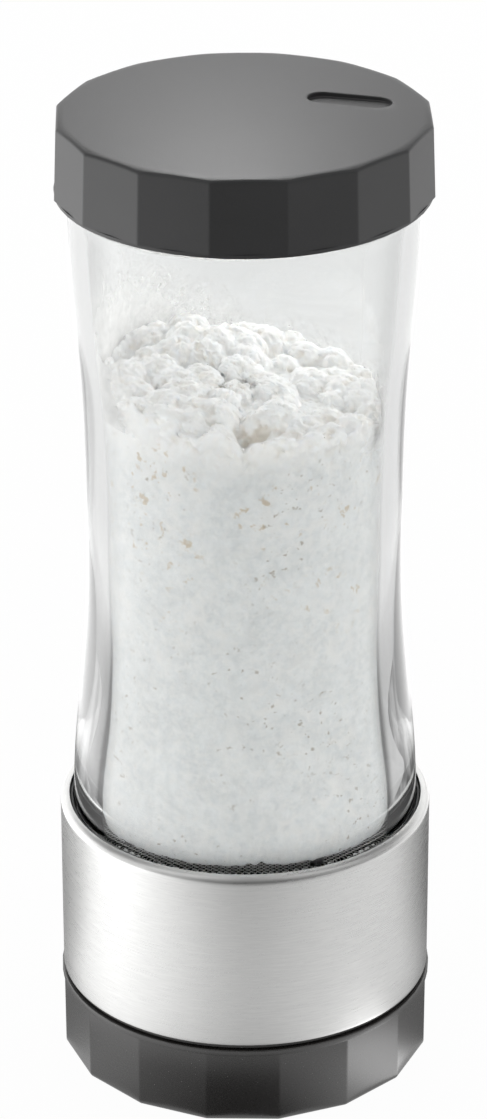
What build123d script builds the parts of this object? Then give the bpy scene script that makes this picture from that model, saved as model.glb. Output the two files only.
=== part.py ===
from build123d import *

import os
from math import cos, hypot, pi, radians, sqrt, tan

# Icing-sugar mill: a waisted glass jar over a twist-driven sieve, between two faceted caps.
# Millimetres, +Z up, origin in the middle of the base cap's underside, front towards -Y.

# Clearances
fit = 0.05  # pieces pushed or glued together
glue_gap = 0.2  # glass and sieve frame in the jar collar
slip = 0.1  # faces that turn or slide on each other
gap = 0.2  # edges that pass close to each other
play = 0.4  # turning pieces that stay apart

# Facets of both caps
facets = 16
facet_turn = 180 / facets  # turns a flat to the front

# Base cap
base_height = 14.8
base_overhang = 0.25  # facets' upper corners past the sleeve's side
base_taper = 0.05
base_turn = -0.9  # front flat's turn from the front
base_wall = 2.2
base_floor = 2.2
base_rim_height = 1.05
base_rim_step = 0.05
base_edge = 1.0
foot_ring = 5.0
foot_recess = 0.6

# End ring under the sleeve, and its seal
base_line = 0.2  # dark line over the base cap
band_height = 0.7
band_inset = 0.4
plug_height = 2.0
spigot_length = 6.0
spigot_play = 0.6
spigot_wall = 2.0
spigot_lead = 0.5
seal_diameter = 1.6
seal_drop = 3.0

# Steel sleeve
sleeve_r = 33.0
sleeve_height = 33.7
sleeve_wall = 0.7
shoulder_radius = 1.4
lip_flat = 0.2

# Core of the sleeve and the slip ring on it
core_wall = 2.25
ledge_width = 2.0
ledge_thickness = 2.2
core_ribs = 12
rib_width = 1.6
rib_set_back = 0.6
glide_thickness = 0.7

# Collar, gasket and sieve under the jar
skirt_wall = 0.4
skirt_drop = 0.5
shelf_width = 2.8
shelf_thickness = 1.6
foot_depth = 3.2  # jar foot below the sleeve's lip
gasket_thickness = 0.8
gasket_width = 3.1
frame_thickness = 2.0
frame_rim = 3.0
frame_spokes = 4
frame_spoke_width = 2.2
frame_spoke_angle = -96  # the spoke that shows a little left of the front
frame_hub_r = 4.5
frame_hub_drop = 0.5
mesh_thickness = 0.35
mesh_seat = 1.0
mesh_pitch = 2.9
mesh_wire = 0.6
mesh_margin = 0.8

# Shaft, bush, spider and agitator
shaft_r = 2.0
shaft_flat = 0.5
shaft_head_r = 3.4
shaft_head_height = 1.2
shaft_pull = 0.2  # the shaft ends this far inside the spider, so that the screw pulls it tight
bush_wall = 0.95
bush_flange = 0.9
bush_flange_thickness = 0.25
bush_running = 0.05
spider_depth = 5.0
spider_thickness = 3.0
spider_rim = 2.5
spider_spokes = 3
spider_spoke_width = 3.0
spider_spoke_angle = 90
spider_hub_r = 5.0
spider_hub_height = 6.0
lug_reach = 1.0
lug_width = 6.0
agitator_hub_r = 5.0
agitator_height = 8.0
vane_count = 4
vane_root_height = 6.5
vane_tip_height = 3.0
vane_thickness = 1.8
vane_bow = 5.0
vane_gap = 2.3
vane_angle = 30
screw_r = 1.25
screw_length = 6.0
screw_head_r = 2.4
screw_head_height = 1.5
screw_socket_r = 1.0
screw_socket_depth = 0.8
screw_hole_spare = 0.5
washer_r = 4.0
washer_thickness = 0.7

# Glass jar: outside, inside and neck
jar_height = 117.2  # foot to shoulder
foot_wall = 5.1
foot_straight = 1.6
foot_round = 1.2
foot_bore_round = 0.8
waist_height = 55.8
waist_depth = 3.17
waist_bore_height = 49.3
waist_wall = 3.69
shoulder_depth = 0.65
shoulder_wall = 3.35
shoulder_straight = 2.0
shoulder_round = 1.2
foot_sweep = 18.0
waist_sweep_below = 25.0
waist_sweep_above = 40.0
shoulder_sweep = 23.0
bore_foot_sweep = 10.0
bore_sweep_below = 30.0
bore_sweep_above = 38.0
bore_shoulder_sweep = 23.0
throat_drop = 2.5
throat_rise = 1.5
throat_sweep = 2.0
neck_height = 9.1
neck_step = 2.75
neck_wall = 2.6
neck_root = 0.8
rim_round = 0.6

# Sugar
sugar_gap = 0.25
heap_x = -8.0
heap_y = 8.0
heap_height = 93.0  # over the jar's foot
heap_repose = 14.0
heap_lean = 7.0
heap_crown = 4.0

# Top cap, its liner and its seal
cap_gap = 0.3
cap_overhang = 2.55
cap_taper = 0.5
cap_turn = 1.3  # front flat's turn from the front
cap_rim_height = 0.7
cap_rim_step = 0.45  # from the facets' lower corners in to the rim
cap_top = 3.1
cap_crown = 0.35
cap_edge = 5.0  # radius of the upper edge, which the facets cut off
cap_edge_reach = 1.95
recess_x = 17.8
recess_y = 6.0
recess_length = 14.5
recess_width = 5.5
recess_depth = 0.8
recess_angle = -14
liner_set_in = 0.5
liner_wall = 1.25
liner_top = 1.1
thread_room = 1.0
lip_height = 2.0
lip_wall = 1.5
lip_play = 0.3
top_seal_thickness = 0.75

# Heights, from the table up
band_z = base_height + base_line
sleeve_z = band_z + band_height
sleeve_top = sleeve_z + sleeve_height
core_z = sleeve_z + plug_height
flange_top = sleeve_top - sleeve_wall - play
skirt_top = sleeve_top - skirt_drop
foot_z = sleeve_top - foot_depth
frame_top = foot_z - gasket_thickness
frame_z = frame_top - frame_thickness
mesh_z = frame_top - mesh_thickness
frame_hub_z = frame_z - frame_hub_drop
collar_z = frame_z - shelf_thickness
glide_z = collar_z - slip - glide_thickness
spider_z = glide_z - spider_depth
spider_hub_top = spider_z + spider_hub_height
agitator_z = frame_top + bush_flange_thickness + slip
agitator_top = agitator_z + agitator_height
shaft_z = spider_z + shaft_pull
washer_z = spider_z - washer_thickness
waist_z = foot_z + waist_height
waist_bore_z = foot_z + waist_bore_height
shoulder_z = foot_z + jar_height
rim_z = shoulder_z + neck_height
cap_z = shoulder_z + cap_gap
top_seal_z = rim_z + fit
liner_seat_z = top_seal_z + top_seal_thickness + fit
liner_top_z = liner_seat_z + liner_top
cap_ceiling_z = liner_top_z + fit
cap_top_z = cap_ceiling_z + cap_top

# Radii, from the sleeve's side inwards
flange_r = sleeve_r - sleeve_wall - play
lip_bore_r = sleeve_r - shoulder_radius - lip_flat
skirt_r = lip_bore_r - gap
collar_bore_r = skirt_r - skirt_wall
shelf_r = collar_bore_r - shelf_width
foot_r = collar_bore_r - glue_gap
frame_r = collar_bore_r - glue_gap
frame_bore_r = frame_r - frame_rim
mesh_r = frame_bore_r + mesh_seat
gasket_r = foot_r - foot_round
core_r = sleeve_r - sleeve_wall - fit
core_bore_r = core_r - core_wall
ledge_r = core_bore_r - ledge_width
spider_r = core_bore_r - gap
spider_bore_r = spider_r - spider_rim
lug_r = spider_r + lug_reach
band_r = sleeve_r - band_inset
base_r = sleeve_r + base_overhang
base_foot_r = base_r - base_taper
base_bore_r = base_foot_r * cos(pi / facets) - base_wall
spigot_r = base_bore_r - spigot_play
outlet_r = spigot_r - spigot_wall
base_seal_r = base_bore_r - slip - seal_diameter / 2
groove_r = base_seal_r - seal_diameter / 2 - fit
waist_r = foot_r - waist_depth
shoulder_r = foot_r - shoulder_depth
foot_bore_r = foot_r - foot_wall
waist_bore_r = waist_r - waist_wall
shoulder_bore_r = shoulder_r - shoulder_wall
neck_r = shoulder_r - neck_step
mouth_r = neck_r - neck_wall
bush_bore_r = shaft_r + bush_running
bush_r = bush_bore_r + bush_wall
vane_r = foot_bore_r - vane_gap
liner_bore_r = neck_r + thread_room
liner_r = liner_bore_r + liner_wall
cap_bore_r = liner_r + fit
cap_r = shoulder_r + cap_overhang
cap_top_r = cap_r - cap_taper
lip_r = mouth_r - lip_play

os.makedirs("parts", exist_ok=True)


def outline(*corners):
    """A face of straight sides in the XZ plane, beside the axis that it is turned about."""
    with BuildSketch(Plane.XZ) as face:
        with BuildLine():
            Polyline(*corners, close=True)
        make_face()
    return face.sketch


def ring_outline(r_in, r_out, z_low, z_high):
    """The section of a plain ring."""
    return outline((r_in, z_low), (r_out, z_low), (r_out, z_high), (r_in, z_high))


def facet_section(z, corner_r, turn):
    """A level polygon with one flat towards the front, or turned a little from it."""
    with BuildSketch(Plane.XY.offset(z)) as section:
        RegularPolygon(corner_r, facets, rotation=facet_turn + turn)
    return section.sketch


def flatted_round(clearance):
    """The shaft's section with its one flat, grown by a clearance."""
    radius = shaft_r + clearance
    Circle(radius)
    with Locations((2 * radius - shaft_flat, 0)):
        Rectangle(2 * radius, 2 * radius, mode=Mode.SUBTRACT)


def bore_line(inset):
    """The jar's inside wall from its foot to its throat, moved towards the axis by inset."""
    foot = foot_bore_r - inset
    waist = waist_bore_r - inset
    throat = shoulder_bore_r - inset
    low_z = foot_z + foot_straight
    throat_z = shoulder_z - throat_drop
    Bezier(
        (foot, low_z),
        (foot, low_z + bore_foot_sweep),
        (waist, waist_bore_z - bore_sweep_below),
        (waist, waist_bore_z),
    )
    Bezier(
        (waist, waist_bore_z),
        (waist, waist_bore_z + bore_sweep_above),
        (throat, throat_z - bore_shoulder_sweep),
        (throat, throat_z),
    )


# Glass jar: one turned profile, thick at the foot, drawn in at the waist, with a stepped neck
with BuildPart() as glass_jar:
    with BuildSketch(Plane.XZ):
        with BuildLine():
            Bezier(
                (foot_r, foot_z + foot_straight),
                (foot_r, foot_z + foot_straight + foot_sweep),
                (waist_r, waist_z - waist_sweep_below),
                (waist_r, waist_z),
            )
            Bezier(
                (waist_r, waist_z),
                (waist_r, waist_z + waist_sweep_above),
                (shoulder_r, shoulder_z - shoulder_straight - shoulder_sweep),
                (shoulder_r, shoulder_z - shoulder_straight),
            )
            FilletPolyline(
                (shoulder_r, shoulder_z - shoulder_straight),
                (shoulder_r, shoulder_z),
                (neck_r, shoulder_z),
                (neck_r, rim_z),
                (mouth_r, rim_z),
                (mouth_r, shoulder_z + throat_rise),
                radius=[shoulder_round, neck_root, rim_round, rim_round],
            )
            Bezier(
                (mouth_r, shoulder_z + throat_rise),
                (mouth_r, shoulder_z + throat_rise - throat_sweep),
                (shoulder_bore_r, shoulder_z - throat_drop + throat_sweep),
                (shoulder_bore_r, shoulder_z - throat_drop),
            )
            bore_line(0)
            FilletPolyline(
                (foot_bore_r, foot_z + foot_straight),
                (foot_bore_r, foot_z),
                (foot_r, foot_z),
                (foot_r, foot_z + foot_straight),
                radius=[foot_bore_round, foot_round],
            )
        make_face()
    revolve(axis=Axis.Z)
glass_jar.part.label = "glass_jar"
export_step(glass_jar.part, "parts/glass_jar.step")

# Jar collar: glued round the foot, with a flange that the sleeve's lip holds down and a shelf for the sieve
with BuildPart() as jar_collar:
    section = outline(
        (shelf_r, collar_z),
        (flange_r, collar_z),
        (flange_r, flange_top),
        (skirt_r, flange_top),
        (skirt_r, skirt_top),
        (collar_bore_r, skirt_top),
        (collar_bore_r, frame_z),
        (shelf_r, frame_z),
    )
    revolve(section, axis=Axis.Z)
jar_collar.part.label = "jar_collar"
export_step(jar_collar.part, "parts/jar_collar.step")

# Foot gasket: between the jar's foot and the sieve
with BuildPart() as foot_gasket:
    revolve(ring_outline(gasket_r - gasket_width, gasket_r, frame_top, foot_z), axis=Axis.Z)
foot_gasket.part.label = "foot_gasket"
export_step(foot_gasket.part, "parts/foot_gasket.step")

# Sieve frame: rim with a rebate for the mesh, spokes under it and a bored hub
with BuildPart() as sieve_frame:
    with BuildSketch(Plane.XY.offset(frame_z)):
        Circle(frame_r)
        Circle(frame_bore_r, mode=Mode.SUBTRACT)
    extrude(amount=frame_thickness)
    with BuildSketch(Plane.XY.offset(mesh_z)):
        Circle(mesh_r + fit)
    extrude(amount=mesh_thickness, mode=Mode.SUBTRACT)
    with BuildSketch(Plane.XY.offset(frame_z)):
        with PolarLocations((frame_hub_r + frame_bore_r) / 2, frame_spokes, frame_spoke_angle):
            Rectangle(frame_bore_r, frame_spoke_width)
        Circle(bush_r, mode=Mode.SUBTRACT)
        Circle(frame_bore_r + mesh_seat, mode=Mode.INTERSECT)
    extrude(amount=mesh_z - frame_z)
    with BuildSketch(Plane.XY.offset(frame_hub_z)):
        Circle(frame_hub_r)
    extrude(amount=frame_top - frame_hub_z)
    with BuildSketch(Plane.XY.offset(frame_hub_z)):
        Circle(bush_r + fit)
    extrude(amount=frame_top - frame_hub_z, mode=Mode.SUBTRACT)
sieve_frame.part.label = "sieve_frame"
export_step(sieve_frame.part, "parts/sieve_frame.step")

# Sieve mesh: one disc with square gaps, coarser than the woven wire
mesh_steps = int(mesh_r / mesh_pitch) + 1
mesh_lines = [mesh_pitch * step for step in range(-mesh_steps, mesh_steps + 1)]
mesh_half_diagonal = (mesh_pitch - mesh_wire) / 2 ** 0.5
mesh_gaps = [
    (x, y)
    for x in mesh_lines
    for y in mesh_lines
    if frame_hub_r + mesh_margin < hypot(x, y) - mesh_half_diagonal
    and hypot(x, y) + mesh_half_diagonal < mesh_r - mesh_margin
]
with BuildPart() as sieve_mesh:
    with BuildSketch(Plane.XY.offset(mesh_z)):
        Circle(mesh_r)
        Circle(frame_hub_r + fit, mode=Mode.SUBTRACT)
        with Locations(*mesh_gaps):
            Rectangle(mesh_pitch - mesh_wire, mesh_pitch - mesh_wire, mode=Mode.SUBTRACT)
    extrude(amount=mesh_thickness)
sieve_mesh.part.label = "sieve_mesh"
export_step(sieve_mesh.part, "parts/sieve_mesh.step")

# Bearing bush: in the frame's hub, with a thrust flange under the agitator
with BuildPart() as bearing_bush:
    section = outline(
        (bush_bore_r, frame_hub_z),
        (bush_r, frame_hub_z),
        (bush_r, frame_top),
        (bush_r + bush_flange, frame_top),
        (bush_r + bush_flange, frame_top + bush_flange_thickness),
        (bush_bore_r, frame_top + bush_flange_thickness),
    )
    revolve(section, axis=Axis.Z)
bearing_bush.part.label = "bearing_bush"
export_step(bearing_bush.part, "parts/bearing_bush.step")

# Sugar: follows the jar's inside wall, heaped towards the back left, swept clear below by the agitator
with BuildPart() as sugar_fill:
    with BuildSketch(Plane.XZ):
        with BuildLine():
            bore_line(sugar_gap)
            Polyline(
                (shoulder_bore_r - sugar_gap, shoulder_z - throat_drop),
                (0, shoulder_z - throat_drop),
                (0, foot_z + foot_straight),
                (foot_bore_r - sugar_gap, foot_z + foot_straight),
            )
        make_face()
    revolve(axis=Axis.Z)
    heap_spread = 2 * heap_height / tan(radians(heap_repose))
    with Locations(Location((heap_x, heap_y, foot_z + heap_height), (0, heap_lean, 0))):
        Cone(
            heap_crown + heap_spread,
            heap_crown,
            2 * heap_height,
            align=(Align.CENTER, Align.CENTER, Align.MAX),
            mode=Mode.INTERSECT,
        )
    sweep = outline(
        (0, frame_top),
        (foot_r, frame_top),
        (foot_r, agitator_z + vane_tip_height + play),
        (vane_r + play, agitator_z + vane_tip_height + play),
        (agitator_hub_r + play, agitator_z + vane_root_height + play),
        (agitator_hub_r + play, agitator_top + shaft_head_height + play),
        (0, agitator_top + shaft_head_height + play),
    )
    revolve(sweep, axis=Axis.Z, mode=Mode.SUBTRACT)
sugar_fill.part.label = "sugar_fill"
export_step(sugar_fill.part, "parts/sugar_fill.step")

# Steel sleeve: thin tube with its upper edge rolled in to a lip
with BuildPart() as steel_sleeve:
    inner_r = sleeve_r - sleeve_wall
    inner_top = sleeve_top - sleeve_wall
    with BuildSketch(Plane.XZ):
        with BuildLine():
            FilletPolyline(
                (sleeve_r, sleeve_z),
                (sleeve_r, sleeve_top),
                (lip_bore_r, sleeve_top),
                radius=shoulder_radius,
            )
            Line((lip_bore_r, sleeve_top), (lip_bore_r, inner_top))
            FilletPolyline(
                (lip_bore_r, inner_top),
                (inner_r, inner_top),
                (inner_r, sleeve_z),
                radius=shoulder_radius - sleeve_wall,
            )
            Line((inner_r, sleeve_z), (sleeve_r, sleeve_z))
        make_face()
    revolve(axis=Axis.Z)
steel_sleeve.part.label = "steel_sleeve"
export_step(steel_sleeve.part, "parts/steel_sleeve.step")

# Sleeve core: fills the sleeve, with a ledge for the spider, pockets for its lugs and ribs below
with BuildPart() as sleeve_core:
    section = outline(
        (core_bore_r, core_z),
        (core_r, core_z),
        (core_r, glide_z),
        (core_bore_r, glide_z),
        (core_bore_r, spider_z),
        (ledge_r, spider_z),
        (ledge_r, spider_z - ledge_thickness),
        (core_bore_r, spider_z - ledge_thickness - ledge_width),
    )
    revolve(section, axis=Axis.Z)
    with BuildSketch(Plane.XY.offset(spider_z)):
        with PolarLocations(core_bore_r, spider_spokes, spider_spoke_angle):
            Rectangle(2 * (lug_r + gap - core_bore_r), lug_width + 2 * slip)
    extrude(amount=spider_depth, mode=Mode.SUBTRACT)
    with BuildSketch(Plane.XY.offset(core_z)):
        with PolarLocations(core_bore_r, core_ribs, spider_spoke_angle):
            Rectangle(2 * (ledge_width - rib_set_back), rib_width)
    extrude(amount=spider_z - ledge_thickness / 2 - core_z)
sleeve_core.part.label = "sleeve_core"
export_step(sleeve_core.part, "parts/sleeve_core.step")

# Glide ring: lies on the core, and the jar collar turns on it
with BuildPart() as glide_ring:
    revolve(ring_outline(core_bore_r + gap, core_r - gap, glide_z, glide_z + glide_thickness), axis=Axis.Z)
glide_ring.part.label = "glide_ring"
export_step(glide_ring.part, "parts/glide_ring.step")

# Drive spider: lugs in the core's pockets, rim on its ledge, hub on the shaft's flat
with BuildPart() as drive_spider:
    with BuildSketch(Plane.XY.offset(spider_z)):
        Circle(spider_r)
        with PolarLocations(spider_r, spider_spokes, spider_spoke_angle):
            Rectangle(2 * lug_reach, lug_width)
        Circle(spider_bore_r, mode=Mode.SUBTRACT)
        with PolarLocations(spider_r / 2, spider_spokes, spider_spoke_angle):
            Rectangle(spider_r, spider_spoke_width)
    extrude(amount=spider_thickness)
    with BuildSketch(Plane.XY.offset(spider_z)):
        Circle(spider_hub_r)
    extrude(amount=spider_hub_height)
    with BuildSketch(Plane.XY.offset(spider_z)):
        flatted_round(fit)
    extrude(amount=spider_hub_height, mode=Mode.SUBTRACT)
drive_spider.part.label = "drive_spider"
export_step(drive_spider.part, "parts/drive_spider.step")

# Drive shaft: head on the agitator, flats in both hubs, round in the bush, tapped from below
with BuildPart() as drive_shaft:
    with BuildSketch(Plane.XY.offset(shaft_z)):
        flatted_round(0)
    extrude(amount=agitator_top - shaft_z)
    with BuildSketch(Plane.XY.offset(spider_hub_top)):
        Circle(shaft_r)
    extrude(amount=agitator_z - spider_hub_top)
    with BuildSketch(Plane.XY.offset(agitator_top)):
        Circle(shaft_head_r)
    extrude(amount=shaft_head_height)
    with BuildSketch(Plane.XY.offset(shaft_z)):
        Circle(screw_r + fit)
    extrude(amount=screw_length + screw_hole_spare, mode=Mode.SUBTRACT)
drive_shaft.part.label = "drive_shaft"
export_step(drive_shaft.part, "parts/drive_shaft.step")

# One curved vane of the agitator, seen from above
with BuildSketch() as vane:
    with BuildLine():
        ThreePointArc((0, 0), (vane_r / 2, vane_bow), (vane_r, 0))
    trace(line_width=vane_thickness)

# Agitator: hub with curved vanes that get lower towards their tips
with BuildPart() as agitator:
    with BuildSketch(Plane.XY.offset(agitator_z)):
        with PolarLocations(0, vane_count, vane_angle):
            add(vane.sketch)
        Circle(agitator_hub_r)
    extrude(amount=agitator_height)
    envelope = outline(
        (0, agitator_z),
        (vane_r, agitator_z),
        (vane_r, agitator_z + vane_tip_height),
        (agitator_hub_r, agitator_z + vane_root_height),
        (agitator_hub_r, agitator_top),
        (0, agitator_top),
    )
    revolve(envelope, axis=Axis.Z, mode=Mode.INTERSECT)
    with BuildSketch(Plane.XY.offset(agitator_z)):
        flatted_round(fit)
    extrude(amount=agitator_height, mode=Mode.SUBTRACT)
agitator.part.label = "agitator"
export_step(agitator.part, "parts/agitator.step")

# Washer and screw: pull the shaft down into the spider
with BuildPart() as shaft_washer:
    revolve(ring_outline(screw_r + gap, washer_r, washer_z, spider_z), axis=Axis.Z)
shaft_washer.part.label = "shaft_washer"
export_step(shaft_washer.part, "parts/shaft_washer.step")

with BuildPart() as shaft_screw:
    with BuildSketch(Plane.XY.offset(washer_z - screw_head_height)):
        Circle(screw_head_r)
        RegularPolygon(screw_socket_r, 6, mode=Mode.SUBTRACT)
    extrude(amount=screw_socket_depth)
    with BuildSketch(Plane.XY.offset(washer_z - screw_head_height + screw_socket_depth)):
        Circle(screw_head_r)
    extrude(amount=screw_head_height - screw_socket_depth)
    with BuildSketch(Plane.XY.offset(washer_z)):
        Circle(screw_r)
    extrude(amount=shaft_z + screw_length - washer_z)
shaft_screw.part.label = "shaft_screw"
export_step(shaft_screw.part, "parts/shaft_screw.step")

# End ring: closes the sleeve, shows as a band under it, and its spigot carries the base cap
with BuildPart() as end_ring:
    spigot_z = band_z - spigot_length
    groove_half = seal_diameter / 2 + slip
    section = outline(
        (outlet_r, spigot_z),
        (spigot_r - spigot_lead, spigot_z),
        (spigot_r, spigot_z + spigot_lead),
        (spigot_r, band_z - seal_drop - groove_half),
        (groove_r, band_z - seal_drop - groove_half),
        (groove_r, band_z - seal_drop + groove_half),
        (spigot_r, band_z - seal_drop + groove_half),
        (spigot_r, band_z),
        (band_r, band_z),
        (band_r, sleeve_z),
        (core_r, sleeve_z),
        (core_r, core_z),
        (outlet_r, core_z),
    )
    revolve(section, axis=Axis.Z)
end_ring.part.label = "end_ring"
export_step(end_ring.part, "parts/end_ring.step")

# Base seal: round ring in the spigot's groove
with BuildPart() as base_seal:
    with BuildSketch(Plane.XZ):
        with Locations((base_seal_r, band_z - seal_drop)):
            Circle(seal_diameter / 2)
    revolve(axis=Axis.Z)
base_seal.part.label = "base_seal"
export_step(base_seal.part, "parts/base_seal.step")

# Base cap: faceted cup with a round rim, standing on a flat ring
with BuildPart() as base_cap:
    base_facets = [
        facet_section(0, base_foot_r, base_turn),
        facet_section(base_height - base_rim_height, base_r, base_turn),
    ]
    loft(base_facets, ruled=True)
    fillet(base_cap.edges().group_by(Axis.Z)[0], radius=base_edge)
    with BuildSketch(Plane.XY.offset(base_height - base_rim_height)):
        Circle(base_r + base_rim_step)
    extrude(amount=base_rim_height)
    with BuildSketch(Plane.XY.offset(base_floor)):
        Circle(base_bore_r)
    extrude(amount=base_height - base_floor, mode=Mode.SUBTRACT)
    with BuildSketch():
        Circle(base_foot_r - foot_ring)
    extrude(amount=foot_recess, mode=Mode.SUBTRACT)
base_cap.part.label = "base_cap"
export_step(base_cap.part, "parts/base_cap.step")

# Top cap: faceted shell with a low crown, a rounded upper edge, a round rim and a bare oblong recess
with BuildPart() as top_cap:
    cap_facets = [
        facet_section(cap_z + cap_rim_height, cap_r, cap_turn),
        facet_section(cap_top_z, cap_top_r, cap_turn),
    ]
    loft(cap_facets, ruled=True)
    with BuildSketch(Plane.XZ):
        with BuildLine():
            crown_end_r = cap_top_r - cap_edge_reach
            crown_end_z = cap_top_z - cap_crown
            edge_end_r = cap_r + cap_rim_step
            edge_drop = cap_edge - sqrt(cap_edge**2 - (edge_end_r - crown_end_r) ** 2)
            ThreePointArc(
                (0, cap_top_z),
                (crown_end_r / 2, cap_top_z - cap_crown / 4),
                (crown_end_r, crown_end_z),
            )
            RadiusArc(
                (crown_end_r, crown_end_z),
                (edge_end_r, crown_end_z - edge_drop),
                cap_edge,
            )
            Polyline(
                (edge_end_r, crown_end_z - edge_drop),
                (edge_end_r, cap_z + cap_rim_height),
                (0, cap_z + cap_rim_height),
                (0, cap_top_z),
            )
        make_face()
    revolve(axis=Axis.Z, mode=Mode.INTERSECT)
    with BuildSketch(Plane.XY.offset(cap_z)):
        Circle(cap_r - cap_rim_step)
    extrude(amount=cap_rim_height)
    with BuildSketch(Plane.XY.offset(cap_z)):
        Circle(cap_bore_r)
    extrude(amount=cap_ceiling_z - cap_z, mode=Mode.SUBTRACT)
    recess_z = cap_top_z - cap_crown / 2 - recess_depth
    with BuildSketch(Plane.XY.offset(recess_z)):
        with Locations(Location((recess_x, recess_y), recess_angle)):
            SlotOverall(recess_length, recess_width)
    extrude(amount=cap_top_z - recess_z, mode=Mode.SUBTRACT)
top_cap.part.label = "top_cap"
export_step(top_cap.part, "parts/top_cap.step")

# Cap liner: threaded skirt round the neck, seat over the seal and a lip that centres it in the mouth
with BuildPart() as cap_insert:
    section = outline(
        (0, liner_top_z),
        (0, liner_seat_z),
        (lip_r - lip_wall, liner_seat_z),
        (lip_r - lip_wall, liner_seat_z - lip_height),
        (lip_r, liner_seat_z - lip_height),
        (lip_r, liner_seat_z),
        (liner_bore_r, liner_seat_z),
        (liner_bore_r, cap_z + liner_set_in),
        (liner_r, cap_z + liner_set_in),
        (liner_r, liner_top_z),
    )
    revolve(section, axis=Axis.Z)
cap_insert.part.label = "cap_insert"
export_step(cap_insert.part, "parts/cap_insert.step")

# Top seal: flat ring on the jar's rim
with BuildPart() as top_seal:
    revolve(ring_outline(lip_r + gap, neck_r - gap, top_seal_z, top_seal_z + top_seal_thickness), axis=Axis.Z)
top_seal.part.label = "top_seal"
export_step(top_seal.part, "parts/top_seal.step")
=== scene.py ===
"""Icing-sugar mill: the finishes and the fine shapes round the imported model.

Shapes are worked out in millimetres and put into meshes in metres, +Z up, with the front towards -Y.
"""

import bmesh
import bpy
import numpy as np
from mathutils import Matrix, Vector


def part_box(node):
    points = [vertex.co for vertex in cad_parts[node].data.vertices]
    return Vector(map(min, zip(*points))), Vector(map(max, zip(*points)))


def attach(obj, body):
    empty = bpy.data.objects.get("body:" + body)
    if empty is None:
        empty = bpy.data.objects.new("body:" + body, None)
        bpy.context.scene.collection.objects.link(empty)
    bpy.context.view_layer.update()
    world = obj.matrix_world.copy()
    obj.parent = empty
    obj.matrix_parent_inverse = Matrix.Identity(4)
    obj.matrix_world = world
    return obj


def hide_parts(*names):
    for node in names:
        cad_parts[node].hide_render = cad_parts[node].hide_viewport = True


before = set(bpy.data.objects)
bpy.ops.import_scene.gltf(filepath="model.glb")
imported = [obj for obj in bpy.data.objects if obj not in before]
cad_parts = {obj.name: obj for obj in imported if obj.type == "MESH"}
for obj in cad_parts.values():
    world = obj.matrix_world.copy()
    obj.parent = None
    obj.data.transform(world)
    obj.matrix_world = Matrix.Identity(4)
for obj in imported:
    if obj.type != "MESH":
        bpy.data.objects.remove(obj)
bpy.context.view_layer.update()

MM = 0.001
TURN = 2 * np.pi
WELD = 0.0005 * MM  # points nearer than this are one point
CREASE = np.radians(38)  # edges sharper than this stay crisp


def extent(node):
    """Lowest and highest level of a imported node, and how far it reaches from the axis, in millimetres."""
    low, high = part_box(node)
    return low[2] / MM, high[2] / MM, high[0] / MM


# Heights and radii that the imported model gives
foot_z, rim_z, foot_r = extent("glass_jar")
sleeve_z, sleeve_top, sleeve_r = extent("steel_sleeve")
collar_z, skirt_top, flange_r = extent("jar_collar")
mesh_z, mesh_top, mesh_r = extent("sieve_mesh")
spigot_z, core_z, band_r = extent("end_ring")
base_top, base_rim_r = extent("base_cap")[1:]
cap_z, cap_top_z, cap_rim_r = extent("top_cap")
liner_z, liner_top_z, liner_r = extent("cap_insert")
sugar_z = extent("sugar_fill")[0]

# Facets of both caps
facets = 16
facet_half = np.pi / facets
front = -np.pi / 2
corner_round = 1.3
cap_turn = np.radians(1.3)
base_turn = np.radians(-0.9)

# Glass: walls and the reach of its curves
foot_wall = 5.1
foot_straight = 1.6
foot_rounds = (0.8, 1.2)
waist_height = 55.8
waist_depth = 3.17
waist_bore_height = 49.3
waist_wall = 3.69
shoulder_depth = 0.65
shoulder_wall = 3.35
shoulder_straight = 2.0
neck_height = 9.1
neck_step = 2.75
neck_wall = 2.6
neck_rounds = (1.2, 0.8, 0.6, 0.6)
throat_rise = 1.5
throat_drop = 2.5
throat_sweep = 2.0
outside_sweeps = (18.0, 25.0, 40.0, 23.0)
bore_sweeps = (10.0, 30.0, 38.0, 23.0)

# Thread of the neck and of the cap's liner: three starts
thread_lead = 9.0
thread_pitch = 3.0
thread_height = 0.72
thread_room = 1.0
liner_seat = 1.1
liner_lip_room = 0.3
liner_lip_wall = 1.5
liner_lip_drop = 2.0

waist_z = foot_z + waist_height
waist_bore_z = foot_z + waist_bore_height
low_z = foot_z + foot_straight
shoulder_z = rim_z - neck_height
throat_z = shoulder_z - throat_drop
waist_r = foot_r - waist_depth
shoulder_r = foot_r - shoulder_depth
foot_bore_r = foot_r - foot_wall
waist_bore_r = waist_r - waist_wall
shoulder_bore_r = shoulder_r - shoulder_wall
neck_r = shoulder_r - neck_step
mouth_r = neck_r - neck_wall
liner_bore_r = neck_r + thread_room


def unit(vectors):
    """The same directions, one long."""
    return vectors / np.linalg.norm(vectors, axis=-1, keepdims=True)


def ease(low, high, values):
    """Nought below low, one above high and a smooth S between."""
    share = np.clip((values - low) / (high - low), 0, 1)
    return share * share * (3 - 2 * share)


def bezier(start, leave, arrive, end, steps=44):
    """A cubic curve that leaves its start towards one point and arrives at its end from another."""
    t = np.linspace(0, 1, steps)[:, None]
    points = np.array([start, leave, arrive, end])
    weights = np.hstack([(1 - t) ** 3, 3 * t * (1 - t) ** 2, 3 * t**2 * (1 - t), t**3])
    return weights @ points


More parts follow.
